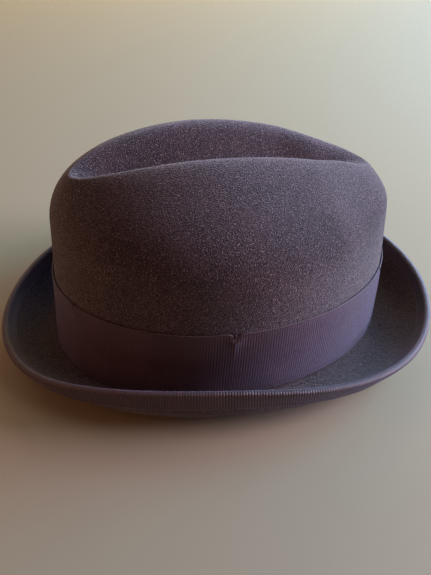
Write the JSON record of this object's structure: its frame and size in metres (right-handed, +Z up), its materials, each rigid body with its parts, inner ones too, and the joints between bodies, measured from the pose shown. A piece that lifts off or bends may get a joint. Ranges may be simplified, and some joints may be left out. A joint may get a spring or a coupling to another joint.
{
  "type": "fedora hat",
  "caption": "Soft felt fedora with a dented crown, a wide ribbed ribbon band with a bow, a short curled and ribbon-bound brim, satin lining and a leather sweatband.",
  "frame": {"origin": "middle of the hat's outline, on the surface it stands on", "axes": "+X to the front of the hat, +Y to the wearer's left, +Z up"},
  "size_m": [0.2686, 0.2338, 0.1228],
  "materials": {
    "felt": "fine brushed fur felt",
    "grosgrain": "ribbed grosgrain",
    "binding_ribbon": "ribbed grosgrain, folded and stitched",
    "thread": "twisted cotton",
    "leather": "smooth vegetable-tanned",
    "cotton_tape": "plain woven tape",
    "satin_ribbon": "narrow satin ribbon",
    "satin": "satin weave, soft sheen",
    "tag_card": "plain matt card, blank"
  },
  "bodies": {
    "root": {"felt_body": "felt", "hat_band": "grosgrain", "bow_tail": "grosgrain", "bow_loop_front": "grosgrain", "bow_loop_rear": "grosgrain", "bow_knot": "grosgrain", "brim_binding": "binding_ribbon", "band_tack_right": "thread", "band_tack_front_right": "thread", "band_tack_front_left": "thread", "band_tack_rear_left": "thread", "band_tack_rear_right": "thread", "sweatband": "leather", "sweatband_reed": "cotton_tape", "sweatband_seam_tape": "cotton_tape", "sweatband_bow": "satin_ribbon", "size_tag": "tag_card", "lining_side": "satin", "lining_tip": "satin"}
  },
  "joints": []
}
